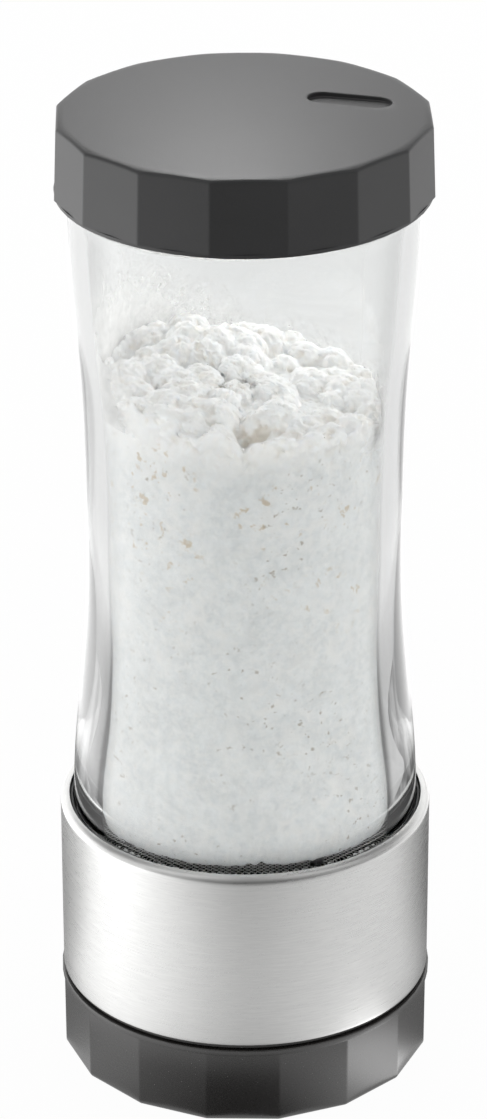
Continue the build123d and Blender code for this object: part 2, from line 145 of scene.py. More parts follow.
def rounded(corners, radii, steps=7):
    """Straight sides with rounded corners: each inner corner is the arc that touches its two sides."""
    corners = np.array(corners, float)
    corner = corners[1:-1]
    back = unit(corners[:-2] - corner)
    onward = unit(corners[2:] - corner)
    half = np.arccos(np.sum(back * onward, -1))[:, None] / 2
    radius = np.array(radii, float)[:, None]
    centre = corner + unit(back + onward) * radius / np.sin(half)
    first = corner + back * radius / np.tan(half) - centre
    last = corner + onward * radius / np.tan(half) - centre
    sweep = np.pi - 2 * half[:, None]
    t = np.linspace(0, 1, steps)[None, :, None]
    arc = np.sin((1 - t) * sweep) * first[:, None] + np.sin(t * sweep) * last[:, None]
    arc = centre[:, None] + arc / np.sin(sweep)
    return np.vstack([corners[:1], arc.reshape(-1, 2), corners[-1:]])


def ring_outline(corners, radii):
    """The closed section of a ring with every corner rounded."""
    corners = np.array(corners, float)
    around = np.vstack([corners[-1:], corners, corners[:1]])
    return rounded(around, radii)[1:-1]


def filled(profile, step):
    """The same line with added points, so that none are further apart than the step."""
    along = np.concatenate([[0], np.cumsum(np.linalg.norm(np.diff(profile, axis=0), axis=1))])
    marks = np.unique(np.concatenate([along, np.arange(0, along[-1], step)]).round(6))
    return np.stack([np.interp(marks, along, profile[:, axis]) for axis in (0, 1)], -1)


def swept(radius, height, angles):
    """Points at a radius and a height for each row, carried round the axis to each angle."""
    radius, height, angles = np.broadcast_arrays(radius, height, angles)
    return np.stack([radius * np.cos(angles), radius * np.sin(angles), height], -1)


def level_rows(profile, angles):
    """A profile of radii and heights, carried round the axis to each angle."""
    return swept(profile[:, :1], profile[:, 1:], angles)


def turned(profile, segments=192):
    """A profile turned about the axis in even steps."""
    return level_rows(profile, TURN * np.arange(segments)[None] / segments)


def mesh_of(name, points, corners):
    """A mesh of points in metres, with the four corners of each face."""
    mesh = bpy.data.meshes.new(name)
    mesh.from_pydata(points.reshape(-1, 3).tolist(), [], np.stack(corners, -1).reshape(-1, 4).tolist())
    return mesh


def placed(name, data):
    """A new object of the scene."""
    made = bpy.data.objects.new(name, data)
    bpy.context.scene.collection.objects.link(made)
    return made


def round_faces(here, above):
    """Corners of the faces between rows and the rows above them, whose columns go once round."""
    return [here, np.roll(here, -1, -1), np.roll(above, -1, -1), above]


def skin(name, grid, ring=True, marks=None):
    """A mesh over rows and columns of points. Columns go once round; rows close too if it is a ring."""
    rows, columns = grid.shape[:2]
    index = np.arange(rows * columns).reshape(rows, columns)
    if ring:
        index = np.vstack([index, index[:1]])
    mesh = mesh_of(name, grid * MM, round_faces(index[:-1], index[1:]))
    for mark, values in (marks or {}).items():
        attribute = mesh.attributes.new(mark, "FLOAT", "POINT")
        attribute.data.foreach_set("value", values.ravel().astype(np.float32))
    return finished(name, mesh)


def finished(name, mesh):
    """The object of a mesh: doubled points welded, faces smooth, creases crisp."""
    shell = bmesh.new()
    shell.from_mesh(mesh)
    bmesh.ops.remove_doubles(shell, verts=shell.verts, dist=WELD)
    bmesh.ops.dissolve_degenerate(shell, edges=shell.edges, dist=WELD)
    shell.to_mesh(mesh)
    shell.free()
    mesh.shade_smooth()
    mesh.set_sharp_from_angle(angle=CREASE)
    return placed(name, mesh)


def turned_ring(name, corners, radii, segments=192):
    """A ring of a closed section with rounded corners, turned about the axis."""
    return skin(name, turned(filled(ring_outline(corners, radii), 0.8), segments))


def stands_for(made, node, body, material):
    """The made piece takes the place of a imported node, on its body and a finish."""
    made.data.materials.append(material)
    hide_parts(node)
    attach(made, body)


class Wire:
    """A shader socket. Sums written with it add Math nodes, and node() adds any other node beside it."""

    def __init__(self, tree, made=None, socket=None):
        self.tree = tree
        self.made = made
        self.socket = socket

    def node(self, kind, settings=None, sockets=None, out=0):
        """A new node: its settings first, then the values or links of its sockets."""
        made = self.tree.nodes.new("ShaderNode" + kind)
        for name, value in (settings or {}).items():
            if name == "stops":
                made.color_ramp.interpolation = "B_SPLINE"
                ends = made.color_ramp.elements
                for place, colour in value[1:-1]:
                    ends.new(place).color = colour
                ends[0].position, ends[0].color = value[0]
                ends[-1].position, ends[-1].color = value[-1]
            else:
                setattr(made, name, value)
        fill(made, sockets or {})
        return Wire(self.tree, made, made.outputs[out] if made.outputs else None)

    def __getitem__(self, name):
        return Wire(self.tree, self.made, self.made.outputs[name])

    def maths(self, operation, first, second):
        return self.node("Math", {"operation": operation}, {0: first, 1: second})

    def __add__(self, other):
        return self.maths("ADD", self, other)

    __radd__ = __add__

    def __sub__(self, other):
        return self.maths("SUBTRACT", self, other)

    def __rsub__(self, other):
        return self.maths("SUBTRACT", other, self)

    def __mul__(self, other):
        return self.maths("MULTIPLY", self, other)

    __rmul__ = __mul__

    def most(self, other):
        return self.maths("MAXIMUM", self, other)

    def between(self, low, high):
        """Nought at low, one at high, held at both ends."""
        return self.node("MapRange", {"interpolation_type": "SMOOTHSTEP"}, {0: self, 1: low, 2: high})

    def stretched(self, x, y, z):
        """This place times a scale for each axis."""
        return self.node("VectorMath", {"operation": "MULTIPLY"}, {0: self, 1: (x, y, z)})

    def noise(self, scale, detail=2.0, roughness=0.5):
        values = {"Vector": self, "Scale": scale, "Detail": detail, "Roughness": roughness}
        return self.node("TexNoise", None, values, "Fac")

    def shown(self):
        """Makes this shader the surface of its material."""
        self.tree.links.new(self.socket, self.tree.nodes["Material Output"].inputs["Surface"])

    def blend(self, first, second):
        """The first colour where this is nought and the second where it is one."""
        return self.node("Mix", {"data_type": "RGBA"}, {0: self, 6: first, 7: second}, 2)


def rgb(red, green, blue):
    return (red, green, blue, 1.0)


def finish(name):
    """A new material: its Principled shader and the place on the piece, in metres."""
    material = bpy.data.materials.new(name)
    material.use_nodes = True
    tree = material.node_tree
    shader = tree.nodes["Principled BSDF"]
    return material, shader, Wire(tree).node("TexCoord", out="Object")


def fill(node, sockets):
    """Plain values for a node's sockets, or links for what changes over the surface."""
    for name, value in sockets.items():
        if isinstance(value, Wire):
            value.tree.links.new(value.socket, node.inputs[name])
        else:
            node.inputs[name].default_value = value


def bumped(height, distance, strength=1.0):
    """A normal from a height between nought and one, over a distance in metres."""
    return height.node("Bump", None, {"Height": height, "Distance": distance, "Strength": strength})


def clear_glass():
    """Pressed clear glass: nearly colourless, a little wavy, with a trace of handling on it."""
    material, shader, place = finish("clear_glass")
    waves = place.stretched(1, 1, 0.35).noise(70, 1.0)
    traces = place.noise(240, 4.0, 0.6).between(0.5, 0.8)
    fill(shader, {
        "Base Color": rgb(0.888, 0.896, 0.893),
        "Transmission Weight": 1.0,
        "IOR": 1.5,
        "Roughness": traces * 0.02,
        "Normal": bumped(waves, 0.12 * MM),
    })
    return material


def moulded(name, colour, roughness, grain, depth, mottle=0.12, gloss=0.5):
    """Moulded plastic: an even colour with a faint mottle and the tool's fine spark grain."""
    material, shader, place = finish(name)
    grains = place.noise(1 / (grain * MM), 2.0, 0.6)
    clouds = place.noise(55, 3.0)
    dark = rgb(*[part * (1 - mottle) for part in colour])
    light = rgb(*[part * (1 + mottle) for part in colour])
    fill(shader, {
        "Specular IOR Level": gloss,
        "Base Color": (clouds * 0.6 + grains * 0.4).between(0.3, 0.7).blend(dark, light),
        "Roughness": clouds * 0.06 + grains * 0.08 + (roughness - 0.07),
        "Normal": bumped(grains, depth * MM),
    })
    return material


def brushed_steel():
    """Steel brushed round the sleeve: fine level streaks that spread a highlight up and down."""
    material, shader, place = finish("brushed_steel")
    fine = place.stretched(240, 240, 4200).noise(1.0, 3.0, 0.65)
    broad = place.stretched(60, 60, 1800).noise(1.0, 1.0)
    handled = place.noise(38, 3.0)
    streaks = fine * 0.85 + broad * 0.15
    fill(shader, {
        "Metallic": 1.0,
        "Anisotropic": 0.6,
        "Anisotropic Rotation": 0.25,
        "Base Color": streaks.between(0.25, 0.75).blend(rgb(0.60, 0.60, 0.595), rgb(0.69, 0.69, 0.68)),
        "Roughness": streaks * 0.12 + handled * 0.05 + 0.2,
        "Normal": bumped(streaks, 0.006 * MM),
    })
    return material


def turned_steel(name, colour, roughness, metal=1.0):
    """Bright steel with the fine rings that a lathe or a die leaves."""
    material, shader, place = finish(name)
    rings = place.stretched(300, 300, 4000).noise(1.0, 2.0)
    dark = rgb(*[part * 0.9 for part in colour])
    fill(shader, {
        "Metallic": metal,
        "Base Color": rings.blend(dark, rgb(*colour)),
        "Roughness": rings * 0.12 + (roughness - 0.06),
        "Normal": bumped(rings, 0.004 * MM),
    })
    return material


def icing_sugar():
    """Packed icing sugar: white and powdery, cool where it lies on glass, with tan and dark specks, and
    with painted shade on the wall, in creases and in small pits.
    """
    material, shader, place = finish("icing_sugar")
    # The hollow mark: tan in the front hollow, and painted shade that deepens with the crumbs' creases.
    hollow = place.node("Attribute", {"attribute_name": "hollow"}, None, "Fac")
    powder = place.noise(900, 4.0, 0.7)
    clouds = place.noise(70, 3.0)
    height = place.node("SeparateXYZ", None, {0: place})["Z"]
    pressed = place.noise(170, 5.0, 0.62).between(0.44, 0.56)
    grit = place.noise(750, 4.0, 0.7).between(0.36, 0.64)
    grainy_wall = pressed * 0.35 + clouds * 0.2 + grit * 0.45
    # The wall is darker and cooler than the loose top: partly pressed powder on the glass, partly painted
    # shade for the weaker light on the wall.
    packed_and_shaded = grainy_wall.blend(rgb(0.69, 0.71, 0.713), rgb(0.85, 0.865, 0.866))
    loose = clouds.between(0.35, 0.65).blend(rgb(0.945, 0.937, 0.92), rgb(0.97, 0.963, 0.95))
    on_top = height.between(0.120, 0.128)
    white = on_top.blend(packed_and_shaded, loose)
    crumbs = place.node("TexVoronoi", None, {"Vector": place, "Scale": 420.0}, "Distance")
    patch = place.noise(60, 2.0).between(0.42, 0.6)
    # Painted shade: in patches the crumbs' cell edges turn the powder grey-cream, as if shaded in the
    # creases between crumbs.
    crease_shade = crumbs.between(0.42, 0.75) * patch
    grain_and_crease_shade = (powder.between(0.6, 0.33) * 0.5).most(crease_shade * 0.6).blend(white, rgb(0.89, 0.88, 0.86))
    upper = height.between(0.085, 0.1) * (1 - height.between(0.122, 0.13))
    fleck_patch = place.noise(85, 1.0).between(0.48, 0.58) * upper
    flecks = place.noise(430, 5.0, 0.7).between(0.59, 0.65) * fleck_patch
    spots = place.noise(800, 3.0, 0.6).between(0.63, 0.69) * place.noise(45, 1.0).between(0.45, 0.6)
    # Painted shade: dark spots on the lower wall stand for the shadows in small pits; the other dark spots
    # are specks in the sugar itself.
    pit_shade = place.noise(420, 5.0, 0.7).between(0.6, 0.66) * place.noise(75, 1.0).between(0.5, 0.62)
    low_pit_shade = pit_shade * (1 - height.between(0.055, 0.08))
    specks_and_pit_shade = (spots * (0.8 - on_top * 0.8)).most(low_pit_shade * 0.6)
    tan_and_crease_shade = (flecks * 0.85).most(hollow).blend(grain_and_crease_shade, rgb(0.62, 0.53, 0.40))
    fill(shader, {
        "Roughness": 0.95,
        "Specular IOR Level": 0.1,
        "Subsurface Weight": 0.9,
        "Subsurface Radius": (1.0, 0.95, 0.9),
        "Subsurface Scale": 1.7 * MM,
        "Base Color": specks_and_pit_shade.blend(tan_and_crease_shade, rgb(0.42, 0.38, 0.32)),
        "Normal": bumped(powder * 0.6 - crumbs * patch * 0.8, 0.25 * MM, 0.8),
    })
    return material


def clinging_dust():
    """Powder that clings to the glass: thin and patchy, thinner upwards and towards its ends."""
    material, shader, place = finish("clinging_dust")
    cover = place.node("Attribute", {"attribute_name": "cover"}, None, "Fac")
    patches = place.noise(330, 7.0, 0.75)
    thick = (patches * 0.8 + cover * 0.75).between(0.5, 1.15) * 0.75
    fill(shader, {
        "Base Color": rgb(0.95, 0.945, 0.935),
        "Roughness": 0.95,
        "Specular IOR Level": 0.1,
        "Alpha": thick * cover.between(0.0, 0.25),
    })
    return material


def wall_curve(foot, waist, top, sweeps):
    """Two S-curves that meet at the waist, upright at the foot, at the waist and at the top."""
    foot_sweep, below, above, top_sweep = sweeps
    lower = bezier(foot, (foot[0], foot[1] + foot_sweep), (waist[0], waist[1] - below), waist)
    upper = bezier(waist, (waist[0], waist[1] + above), (top[0], top[1] - top_sweep), top)
    return np.vstack([lower, upper[1:]])


def bore_profile():
    """The jar's inside wall from its foot up to its throat."""
    waist = (waist_bore_r, waist_bore_z)
    return wall_curve((foot_bore_r, low_z), waist, (shoulder_bore_r, throat_z), bore_sweeps)


def glass_profile():
    """The jar's section, up outside and down inside: S-curves to a waist, a stepped neck and a foot."""
    foot = (foot_r, low_z)
    shoulder = (shoulder_r, shoulder_z - shoulder_straight)
    outside = wall_curve(foot, (waist_r, waist_z), shoulder, outside_sweeps)
    mouth = (mouth_r, shoulder_z + throat_rise)
    neck_corners = [(shoulder_r, shoulder_z), (neck_r, shoulder_z), (neck_r, rim_z), (mouth_r, rim_z)]
    neck = filled(rounded([shoulder, *neck_corners, mouth], neck_rounds), 0.16)
    leave = (mouth_r, mouth[1] - throat_sweep)
    arrive = (shoulder_bore_r, throat_z + throat_sweep)
    throat = bezier(mouth, leave, arrive, (shoulder_bore_r, throat_z), 12)
    base_corners = [(foot_bore_r, low_z), (foot_bore_r, foot_z), (foot_r, foot_z), foot]
    base = filled(rounded(base_corners, foot_rounds), 0.4)
    return np.vstack([outside, neck[1:], throat[1:], bore_profile()[::-1][1:], base[1:-1]])


def thread_wave(height, angles, low, high):
    """A ridge's height, nought to one: rounded turns that climb the lead and fade at both ends."""
    turns = np.cos(TURN * (height - thread_lead * angles / TURN) / thread_pitch)
    return ease(0.1, 0.9, turns) * ease(low, low + 1, height) * ease(high, high - 1, height)


def threaded(grid, plain_r, rise, shift, low, high):
    """The grid with ridges where it lies at the plain radius: points move by their share of the rise."""
    radius = np.hypot(grid[..., 0], grid[..., 1])
    angles = np.arctan2(grid[..., 1], grid[..., 0])
    ridge = thread_wave(grid[..., 2] - shift, angles, low, high)
    on_plain = np.abs(radius - plain_r) < 0.01
    grow = 1 + np.where(on_plain, ridge, 0) * rise / np.maximum(radius, 1)
    grid[..., :2] *= grow[..., None]
    return grid


def make_glass_jar():
    """The jar's section turned about the axis, with the thread's ridges added to the neck."""
    grid = threaded(turned(glass_profile()), neck_r, thread_height, 0, shoulder_z + 1.6, rim_z - 1.2)
    jar = skin("jar_glass", grid)
    stands_for(jar, "glass_jar", "jar", clear_glass())


def make_cap_liner(material):
    """The liner's section turned about the axis, its ridges half a pitch from the neck's, to mesh."""
    seat_z = liner_top_z - liner_seat
    plug_r = mouth_r - liner_lip_room
    plug_bore_r = plug_r - liner_lip_wall
    corners = [
        (0, seat_z),
        (plug_bore_r, seat_z),
        (plug_bore_r, seat_z - liner_lip_drop),
        (plug_r, seat_z - liner_lip_drop),
        (plug_r, seat_z),
        (liner_bore_r, seat_z),
        (liner_bore_r, liner_z),
        (liner_r, liner_z),
        (liner_r, liner_top_z),
        (0, liner_top_z),
    ]
    profile = filled(rounded(corners, (0.3, 0.4, 0.4, 0.3, 0.3, 0.3, 0.3, 0.3)), 0.25)
    half_pitch = thread_pitch / 2
    grid = threaded(turned(profile), liner_bore_r, -thread_height, half_pitch, liner_z - 1, seat_z - 3)
    liner = skin("cap_liner", grid, ring=False)
    stands_for(liner, "cap_insert", "top_cap", material)


def facet_angles(turn):
    """Angles once round a faceted cap: few across each flat, more at the round between two flats."""
    round_half = 0.0105
    flat = facet_half - round_half
    across = flat * np.array([-1, -0.97, -0.6, 0, 0.6, 0.97])
    corner = flat + 2 * round_half * np.linspace(0, 1, 7)[:-1]
    middles = front + turn + TURN * np.arange(facets) / facets
    return (middles[:, None] + np.concatenate([across, corner])).reshape(1, -1)


def facet_radius(angles, corner_r, turn):
    """A faceted side's distance from the axis: flats, and a circle touching two flats at each corner."""
    off = np.abs((angles - front - turn + facet_half) % (2 * facet_half) - facet_half)
    middle = corner_r * np.cos(facet_half)
    hub = (middle - corner_round) / np.cos(facet_half)
    lean = facet_half - off
    arc = hub * np.cos(lean) + np.sqrt(np.maximum(corner_round**2 - (hub * np.sin(lean)) ** 2, 0))
    touch = np.arctan((middle - corner_round) * np.tan(facet_half) / middle)
    return np.where(off < touch, middle / np.cos(off), arc)


# Top cap
cap_rim_height = 0.7
cap_rim_step = 0.45
cap_taper = 0.5
cap_crown = 0.35
cap_edge = 5.0
cap_edge_reach = 1.95
cap_bevel = 0.4
cap_top = 3.1
cap_fit = 0.05
recess_x = 17.8
recess_y = 6.0
recess_length = 14.5
recess_width = 5.5
recess_depth = 0.8
recess_angle = np.radians(-14)
recess_lip = 0.22

cap_r = cap_rim_r + cap_rim_step
cap_top_r = cap_r - cap_taper
cap_ledge_z = cap_z + cap_rim_height
crown_end_r = cap_top_r - cap_edge_reach


def crown_height(radius):
    """The cap's top: a low crown, then an arc down towards the edge."""
    crown = cap_top_z - cap_crown * (radius / crown_end_r) ** 2
    past = np.clip(radius - crown_end_r, 0, cap_edge)
    edge = cap_top_z - cap_crown - cap_edge + np.sqrt(cap_edge**2 - past**2)
    return np.where(radius < crown_end_r, crown, edge)


def cap_side(angles, height):
    """Radius of the cap's tapered flats at a height."""
    share = (height - cap_ledge_z) / (cap_top_z - cap_ledge_z)
    return facet_radius(angles, cap_r - cap_taper * share, cap_turn)


def make_top_cap():
    """The crown out to the flats, a soft edge, the flats down to a round rim, and the inside."""
    angles = facet_angles(cap_turn)
    edge_z = np.full_like(angles, cap_top_z)
    for _ in range(6):
        edge_z = crown_height(cap_side(angles, edge_z))
    edge_r = cap_side(angles, edge_z)
    share = np.concatenate([np.linspace(0, 0.93, 22), np.linspace(0.94, 1, 12)])[:, None]
    top_r = share * (edge_r - cap_bevel)
    top = swept(top_r, crown_height(top_r), angles)
    side_top = edge_z - cap_bevel
    down = np.array([0, 0.02, 0.08, 0.25, 0.5, 0.75, 0.92, 0.98, 1])[:, None]
    side_z = side_top + (cap_ledge_z - side_top) * down
    side = swept(cap_side(angles, side_z), side_z, angles)
    t = np.linspace(0, 1, 7)[1:-1, None, None]
    edge = swept(edge_r, edge_z, angles)
    bevel = (1 - t) ** 2 * top[-1] + 2 * t * (1 - t) * edge + t**2 * side[0]
    bore_r = liner_r + cap_fit
    ceiling_z = cap_top_z - cap_top
    inside_corners = [
        (cap_rim_r, cap_ledge_z),
        (cap_rim_r, cap_z),
        (bore_r, cap_z),
        (bore_r, ceiling_z),
        (0, ceiling_z),
    ]
    inside = filled(rounded(inside_corners, (0.2, 0.2, 0.5)), 1.0)
    grid = np.vstack([top, bevel, side, level_rows(inside, angles)])
    cap = skin("cap_shell", grid[::-1], ring=False)
    cut_recess(cap)
    grain = moulded("cap_grey", (0.034, 0.034, 0.035), 0.42, 0.22, 0.02)
    stands_for(cap, "top_cap", "top_cap", grain)


def cut_recess(cap):
    """Cuts the oblong recess: its outline offset row by row, with a round lip that follows the crown."""
    around = TURN * (np.arange(96) + 0.5) / 96
    spine = (recess_length - recess_width) / 2
    half = recess_width / 2
    floor_z = cap_top_z - cap_crown / 2 - recess_depth
    lip = np.linspace(0, 1, 6) * np.pi / 2
    over = [-half, recess_lip + 0.5, recess_lip + 0.3]
    out = np.concatenate([over, recess_lip * (1 - np.sin(lip)), [0, -0.15, -half]])
    rise = np.concatenate([[1.5, 1.5, 0.02], -recess_lip * (1 - np.cos(lip)), [0.15, 0, 0]])
    reach = (half + out)[:, None]
    x = np.sign(np.cos(around)) * spine + reach * np.cos(around)
    y = reach * np.sin(around)
    across = recess_x + x * np.cos(recess_angle) - y * np.sin(recess_angle)
    along = recess_y + x * np.sin(recess_angle) + y * np.cos(recess_angle)
    follow = crown_height(np.hypot(across, along)) + rise[:, None]
    on_floor = np.arange(len(out))[:, None] >= len(out) - 3
    height = np.where(on_floor, floor_z + rise[:, None], follow)
    cutter = skin("recess_cutter", np.stack([across, along, height], -1)[::-1], ring=False)
    cut = cap.modifiers.new("recess", "BOOLEAN")
    cut.object = cutter
    cut.solver = "EXACT"
    seen = cap.evaluated_get(bpy.context.evaluated_depsgraph_get())
    whole = cap.data
    cap.data = bpy.data.meshes.new_from_object(seen)
    cap.modifiers.clear()
    bpy.data.meshes.remove(whole)
    bpy.data.objects.remove(cutter)
    cap.data.set_sharp_from_angle(angle=CREASE)


# Base cap
base_rim_height = 1.05
base_rim_step = 0.05
base_taper = 0.05
base_edge = 1.0
base_wall = 2.2
base_floor = 2.2
foot_ring = 5.0
foot_recess = 0.6

base_r = base_rim_r - base_rim_step
base_foot_r = base_r - base_taper
base_ledge_z = base_top - base_rim_height
base_bore_r = base_foot_r * np.cos(facet_half) - base_wall


def base_side(angles, height):
    """Radius of the base cap's flats at a height: they spread upwards."""
    return facet_radius(angles, base_foot_r + base_taper * height / base_ledge_z, base_turn)


def make_base_cap():
    """A ring to stand on, a rounded lower edge, the flats up to a round rim, and the cup inside."""
    angles = facet_angles(base_turn)
    recess_r = base_foot_r - foot_ring
    under_corners = [(0, foot_recess), (recess_r, foot_recess), (recess_r, 0), (recess_r + 1, 0)]
    under = level_rows(filled(rounded(under_corners, (0.25, 0.25)), 2.0), angles)
    turn = np.linspace(0, np.pi / 2, 8)[:, None]
    edge_z = base_edge * (1 - np.cos(turn))
    edge = swept(base_side(angles, edge_z) - base_edge * (1 - np.sin(turn)), edge_z, angles)
    up = np.array([0.01, 0.05, 0.2, 0.45, 0.7, 0.9, 0.98, 1])[:, None]
    side_z = base_edge + (base_ledge_z - base_edge) * up
    side = swept(base_side(angles, side_z), side_z, angles)
    inside_corners = [
        (base_r, base_ledge_z),
        (base_rim_r, base_ledge_z),
        (base_rim_r, base_top),
        (base_bore_r, base_top),
        (base_bore_r, base_floor),
        (0, base_floor),
    ]
    inside = filled(rounded(inside_corners, (0.03, 0.2, 0.3, 0.8)), 1.0)
    cup = skin("base_cup", np.vstack([under, edge, side, level_rows(inside[1:], angles)]), ring=False)
    satin = moulded("base_grey", (0.023, 0.021, 0.020), 0.28, 0.35, 0.006, gloss=1.0)
    stands_for(cup, "base_cap", "base_cap", satin)


# Sleeve, and the rings in its two ends
sleeve_wall = 0.7
sleeve_shoulder = 1.4
lip_reach = 0.2
collar_gap = 0.2
skirt_wall = 0.4
flange_gap = 0.4
shelf_width = 2.8
shelf_lift = 0.5
spigot_gap = 0.6
spigot_wall = 2.0
spigot_height = 6.0
spigot_lead = 0.5
seal_squeeze = 0.1
seal_width = 1.6
seal_drop = 3.0
groove_half = 0.9
push_fit = 0.05

lip_r = sleeve_r - sleeve_shoulder - lip_reach
sleeve_bore_r = sleeve_r - sleeve_wall


def make_sleeve():
    """A thin tube with its upper edge rolled in to a lip, turned about the axis."""
    under_lip = sleeve_top - sleeve_wall
    corners = [
        (sleeve_r, sleeve_z),
        (sleeve_r, sleeve_top),
        (lip_r, sleeve_top),
        (lip_r, under_lip),
        (sleeve_bore_r, under_lip),
        (sleeve_bore_r, sleeve_z),
    ]
    radii = (0.2, sleeve_shoulder, 0.15, 0.15, sleeve_shoulder - sleeve_wall, 0.15)
    sleeve = turned_ring("sleeve_steel", corners, radii, 256)
    stands_for(sleeve, "steel_sleeve", "mill_head", brushed_steel())


def make_collar(material):
    """The black ring round the jar's foot: a flange under the sleeve's lip, a thin skirt and a shelf."""
    skirt_r = lip_r - collar_gap
    bore_r = skirt_r - skirt_wall
    shelf_r = bore_r - shelf_width
    frame_z = extent("sieve_frame")[0] + shelf_lift
    flange_top = sleeve_top - sleeve_wall - flange_gap
    corners = [
        (shelf_r, collar_z),
        (flange_r, collar_z),
        (flange_r, flange_top),
        (skirt_r, flange_top),
        (skirt_r, skirt_top),
        (bore_r, skirt_top),
        (bore_r, frame_z),
        (shelf_r, frame_z),
    ]
    collar = turned_ring("collar_ring", corners, (0.2, 0.2, 0.2, 0.1, 0.12, 0.12, 0.1, 0.2))
    stands_for(collar, "jar_collar", "jar", material)


def make_end_ring(material):
    """The band under the sleeve and the grooved spigot below it, turned about the axis."""
    spigot_r = base_bore_r - spigot_gap
    outlet_r = spigot_r - spigot_wall
    groove_r = base_bore_r - seal_squeeze - seal_width - push_fit
    band_z = spigot_z + spigot_height
    seal_z = band_z - seal_drop
    core_r = sleeve_bore_r - push_fit
    corners = [
        (outlet_r, spigot_z),
        (spigot_r - spigot_lead, spigot_z),
        (spigot_r, spigot_z + spigot_lead),
        (spigot_r, seal_z - groove_half),
        (groove_r, seal_z - groove_half),
        (groove_r, seal_z + groove_half),
        (spigot_r, seal_z + groove_half),
        (spigot_r, band_z),
        (band_r, band_z),
        (band_r, sleeve_z),
        (core_r, sleeve_z),
        (core_r, core_z),
        (outlet_r, core_z),
    ]
    radii = (0.3, 0.15, 0.15, 0.15, 0.2, 0.2, 0.15, 0.2, 0.15, 0.1, 0.1, 0.2, 0.4)
    ring = turned_ring("band_ring", corners, radii)
    stands_for(ring, "end_ring", "mill_head", material)


# Sieve
wire_pitch = 0.75
wire_r = 0.085
wire_inset = 0.1  # where wires end, short of the mesh's edge
last_inset = 0.8  # and where the last wire may lie
hub_r = 4.5
hub_gap = 0.15
wire_samples = 78
half_gap = 0.01  # so that the two halves of a wire don't share an end


def wires(offsets, over):
    """Half wires across the disc at each offset, waving over and under those they cross, ends shut."""
    reach = np.sqrt((mesh_r - wire_inset) ** 2 - offsets**2)
    start = np.sqrt(np.maximum((hub_r + hub_gap) ** 2 - offsets**2, half_gap**2))
    t = np.concatenate([[0], np.linspace(0, 1, wire_samples), [1]])
    along = start[:, None] + (reach - start)[:, None] * t
    row = np.round(offsets / wire_pitch)[:, None]
    middle = (mesh_z + mesh_top) / 2
    wave = middle + over * wire_r * np.cos(np.pi * (along / wire_pitch + row))
    thick = np.where((t == 0) | (t == 1), 0, wire_r)
    thick[[1, -2]] = wire_r
    around = TURN * np.arange(4) / 4
    aside = offsets[:, None, None] + thick[None, :, None] * np.cos(around)
    height = wave[..., None] + thick[None, :, None] * np.sin(around)
    return np.broadcast_to(along[..., None], aside.shape), aside, height


def make_sieve():
    """Wires both ways across the disc: four-sided tubes in halves, turned by 45 degrees."""
    count = int((mesh_r - last_inset) / wire_pitch)
    offsets = wire_pitch * np.arange(-count, count + 1)
    along, aside, height = wires(offsets, 1)
    across, beside, level = wires(offsets, -1)
    tubes = np.concatenate([
        np.stack([along, aside, height], -1),
        np.stack([-along, -aside, height], -1),
        np.stack([-beside, across, level], -1),
        np.stack([beside, -across, level], -1),
    ])
    x, y, z = np.moveaxis(tubes, -1, 0)
    tubes = np.stack([x - y, x + y, np.sqrt(2) * z], -1) / np.sqrt(2)
    many, rows, sides = tubes.shape[:3]
    index = np.arange(many * rows * sides).reshape(many, rows, sides)
    name = "sieve_wires"
    sieve = finished(name, mesh_of(name, tubes * MM, round_faces(index[:, :-1], index[:, 1:])))
    pale = turned_steel("sieve_wire", (0.85, 0.85, 0.84), 0.45, 0.3)
    stands_for(sieve, "sieve_mesh", "jar", pale)


# Sugar
sugar_gap = 0.25
heap_z = foot_z + 84.0
heap_fall_x = 0.11  # lower to the right
heap_rise_y = 0.02  # higher to the back
heap_round = 1.0  # where the top turns down to the glass
mound_x = -8.0
mound_y = 12.0
mound_height = 2.5
mound_reach = 9.0
hollow_x = 2.0
hollow_y = -18.5
hollow_depth = 4.5
hollow_reach = 4.5
hub_top = extent("drive_shaft")[1] + 0.4
hub_room = 5.4
vane_root_z = extent("agitator")[0] + 6.9
vane_reach = 23.6
skirt_drop = 1.15  # how far the sugar outside the vanes hangs lower
notch_x = 1.5
notch_reach = 2.2
notch_rise = 1.8
hem_tooth = 0.5
hem_dent = 0.35
clod_pitch = 5.4
clod_shift = 5.0
clod_flat = 0.62  # how tall a clod is for its width
clod_middle = 1.9  # what the clods stand up on average
crumb_sizes = ((2.7, 0.58, 2.0), (1.4, 0.38, 3.0), (0.8, 0.18, 4.0))  # across, tall, seed


def scatter(cells, seed):
    """Three shares from nought to one for each cell, from the fraction of a large sine."""
    mix = np.array([[127.1, 269.5, 113.5], [311.7, 183.3, 271.9], [74.7, 246.1, 124.6]])
    return np.mod(np.sin(cells @ mix + seed) * 43758.5453, 1)


def clumps(points, size, seed):
    """Distance to the nearest of scattered centres, one to each cube of the size, counted in cubes."""
    places = points / size
    places = places + 0.16 * np.sin(2.7 * places[..., [1, 2, 0]] + seed)
    cube = np.floor(places)
    near = np.full(points.shape[:-1], 9.0)
    for step in np.ndindex(3, 3, 3):
        cell = cube + np.array(step) - 1
        near = np.minimum(near, np.linalg.norm(places - cell - scatter(cell, seed), axis=-1))
    return near


